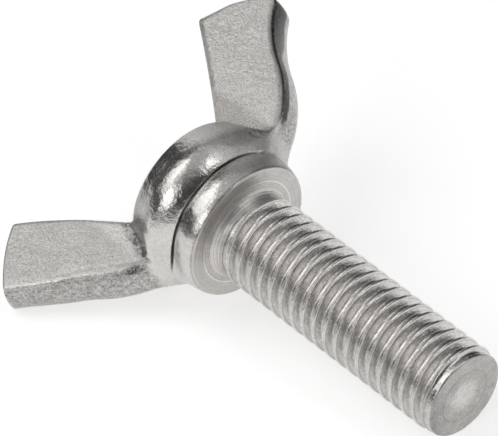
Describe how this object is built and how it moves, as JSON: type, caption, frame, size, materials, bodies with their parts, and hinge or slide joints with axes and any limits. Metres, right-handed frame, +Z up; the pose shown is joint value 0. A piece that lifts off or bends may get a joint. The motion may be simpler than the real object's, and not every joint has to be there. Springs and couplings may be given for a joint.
{
  "type": "wing screw",
  "caption": "Stainless steel wing screw: a forged head with two flared wings, a hub and a round bearing collar over an M8 thread.",
  "frame": {"origin": "centre of the screw's outline on the surface that it lies on", "axes": "+X along the lying screw towards the end of its thread, +Y towards the raised wing, +Z up"},
  "size_m": [0.042, 0.0314, 0.0161],
  "materials": {
    "stainless": "blasted matte wing faces with brighter rolled edges and thread"
  },
  "bodies": {
    "root": {"wing_screw": "stainless"}
  },
  "joints": []
}
